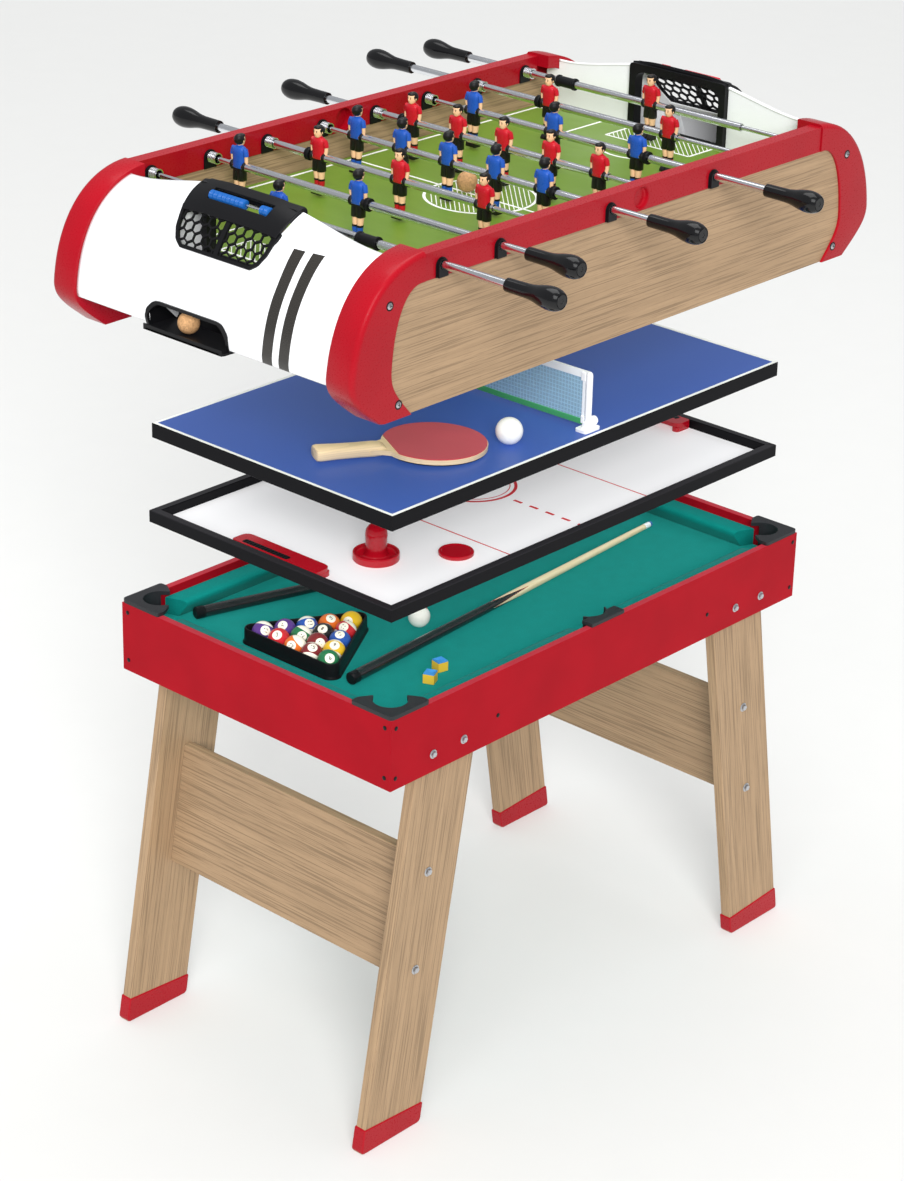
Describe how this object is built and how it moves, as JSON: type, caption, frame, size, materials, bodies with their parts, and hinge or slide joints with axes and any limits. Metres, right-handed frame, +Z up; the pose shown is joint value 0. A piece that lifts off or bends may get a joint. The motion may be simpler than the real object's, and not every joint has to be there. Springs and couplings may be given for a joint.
{
  "type": "multi game table",
  "caption": "Free-standing pool table on splayed legs with a puck board, a tennis board and a football module that stack on it, shown lifted apart.",
  "frame": {"origin": "on the floor, under the middle of the table", "axes": "+X along the table towards the end with the red score beads, +Y across it to the back, where the red team's handles are, +Z up"},
  "size_m": [1.14, 0.9944, 1.399],
  "materials": {
    "red_lacquer": "glossy red foil on board",
    "red_plastic": "glossy red moulding",
    "oak_foil": "light oak foil on board",
    "black_plastic": "satin black moulding",
    "green_cloth": "teal green cloth on board",
    "white_plastic": "glossy white moulding",
    "white_board": "smooth white board with red lines",
    "green_pitch": "printed green pitch on board",
    "blue_board": "smooth blue board with a white border and a black edge",
    "rods_and_players": "bright metal tube with painted players and a black handle",
    "blue_bead": "glossy blue plastic",
    "red_bead": "glossy red plastic",
    "pale_wood": "lacquered pale wood",
    "ball_white": "glossy white ball",
    "net_white": "white posts and tape with pale blue mesh",
    "balls_in_rack": "black rack with glossy coloured balls"
  },
  "bodies": {
    "pool_table": {"apron_front": "red_lacquer", "apron_back": "red_lacquer", "apron_left": "red_lacquer", "apron_right": "red_lacquer", "pool_bed": "green_cloth", "corner_pocket_front_left": "black_plastic", "leg_front_left": "oak_foil", "corner_pocket_front_right": "black_plastic", "leg_front_right": "oak_foil", "cue_front": "pale_wood", "corner_pocket_back_left": "black_plastic", "leg_back_left": "oak_foil", "corner_pocket_back_right": "black_plastic", "leg_back_right": "oak_foil", "cue_back": "pale_wood", "cross_panel_left": "oak_foil", "cross_panel_right": "oak_foil", "ball_rack": "balls_in_rack", "cue_ball": "ball_white"},
    "hockey_level": {"hockey_rim": "black_plastic", "hockey_board": "white_board", "hockey_goal_left": "red_plastic", "hockey_goal_right": "red_plastic", "pusher": "red_plastic", "puck": "red_plastic"},
    "tennis_level": {"tennis_board": "blue_board", "net": "net_white", "bat": "pale_wood", "tennis_ball": "ball_white"},
    "football_level": {"corner_cap_front_left": "red_plastic", "corner_cap_front_right": "red_plastic", "side_front": "oak_foil", "rail_front": "red_plastic", "corner_cap_back_left": "red_plastic", "corner_cap_back_right": "red_plastic", "side_back": "oak_foil", "rail_back": "red_plastic", "end_left": "white_plastic", "goal_left": "black_plastic", "end_right": "white_plastic", "goal_right": "black_plastic", "playfield": "green_pitch"},
    "beads_left": {"score_beads_left": "blue_bead"},
    "beads_right": {"score_beads_right": "red_bead"},
    "slider_1": {"stop_ring_1": "black_plastic"},
    "team_rod_1": {"rod_1": "rods_and_players"},
    "slider_2": {"stop_ring_2": "black_plastic"},
    "team_rod_2": {"rod_2": "rods_and_players"},
    "slider_3": {"stop_ring_3": "black_plastic"},
    "team_rod_3": {"rod_3": "rods_and_players"},
    "slider_4": {"stop_ring_4": "black_plastic"},
    "team_rod_4": {"rod_4": "rods_and_players"},
    "slider_5": {"stop_ring_5": "black_plastic"},
    "team_rod_5": {"rod_5": "rods_and_players"},
    "slider_6": {"stop_ring_6": "black_plastic"},
    "team_rod_6": {"rod_6": "rods_and_players"},
    "slider_7": {"stop_ring_7": "black_plastic"},
    "team_rod_7": {"rod_7": "rods_and_players"},
    "slider_8": {"stop_ring_8": "black_plastic"},
    "team_rod_8": {"rod_8": "rods_and_players"}
  },
  "joints": [
    {"name": "hockey_lift", "type": "slide", "parent": "pool_table", "child": "hockey_level", "axis": [0, 0, 1], "range_m": [-0.1237, 0]},
    {"name": "tennis_lift", "type": "slide", "parent": "hockey_level", "child": "tennis_level", "axis": [0, 0, 1], "range_m": [-0.0714, 0]},
    {"name": "football_lift", "type": "slide", "parent": "tennis_level", "child": "football_level", "axis": [0, 0, 1], "range_m": [-0.2014, 0]},
    {"name": "beads_left_slide", "type": "slide", "parent": "football_level", "child": "beads_left", "axis": [0, 1, 0], "range_m": [0, 0.029]},
    {"name": "beads_right_slide", "type": "slide", "parent": "football_level", "child": "beads_right", "axis": [0, -1, 0], "range_m": [0, 0.029]},
    {"name": "rod_1_slide", "type": "slide", "parent": "football_level", "child": "slider_1", "axis": [0, 1, 0], "range_m": [-0.0727, 0.0527]},
    {"name": "rod_1_spin", "type": "hinge", "parent": "slider_1", "child": "team_rod_1", "pos_m": [-0.399, 0, 1.352], "axis": [0, 1, 0], "continuous": true},
    {"name": "rod_2_slide", "type": "slide", "parent": "football_level", "child": "slider_2", "axis": [0, 1, 0], "range_m": [-0.197, 0.0209]},
    {"name": "rod_2_spin", "type": "hinge", "parent": "slider_2", "child": "team_rod_2", "pos_m": [-0.285, 0, 1.352], "axis": [0, 1, 0], "continuous": true},
    {"name": "rod_3_slide", "type": "slide", "parent": "football_level", "child": "slider_3", "axis": [0, 1, 0], "range_m": [-0.0666, 0.0666]},
    {"name": "rod_3_spin", "type": "hinge", "parent": "slider_3", "child": "team_rod_3", "pos_m": [-0.171, 0, 1.352], "axis": [0, 1, 0], "continuous": true},
    {"name": "rod_4_slide", "type": "slide", "parent": "football_level", "child": "slider_4", "axis": [0, 1, 0], "range_m": [-0.0574, 0.0315]},
    {"name": "rod_4_spin", "type": "hinge", "parent": "slider_4", "child": "team_rod_4", "pos_m": [-0.057, 0, 1.352], "axis": [0, 1, 0], "continuous": true},
    {"name": "rod_5_slide", "type": "slide", "parent": "football_level", "child": "slider_5", "axis": [0, 1, 0], "range_m": [-0.0524, 0.0364]},
    {"name": "rod_5_spin", "type": "hinge", "parent": "slider_5", "child": "team_rod_5", "pos_m": [0.057, 0, 1.352], "axis": [0, 1, 0], "continuous": true},
    {"name": "rod_6_slide", "type": "slide", "parent": "football_level", "child": "slider_6", "axis": [0, 1, 0], "range_m": [-0.0765, 0.0566]},
    {"name": "rod_6_spin", "type": "hinge", "parent": "slider_6", "child": "team_rod_6", "pos_m": [0.171, 0, 1.352], "axis": [0, 1, 0], "continuous": true},
    {"name": "rod_7_slide", "type": "slide", "parent": "football_level", "child": "slider_7", "axis": [0, 1, 0], "range_m": [-0.109, 0.109]},
    {"name": "rod_7_spin", "type": "hinge", "parent": "slider_7", "child": "team_rod_7", "pos_m": [0.285, 0, 1.352], "axis": [0, 1, 0], "continuous": true},
    {"name": "rod_8_slide", "type": "slide", "parent": "football_level", "child": "slider_8", "axis": [0, 1, 0], "range_m": [-0.0727, 0.0527]},
    {"name": "rod_8_spin", "type": "hinge", "parent": "slider_8", "child": "team_rod_8", "pos_m": [0.399, 0, 1.352], "axis": [0, 1, 0], "continuous": true}
  ]
}
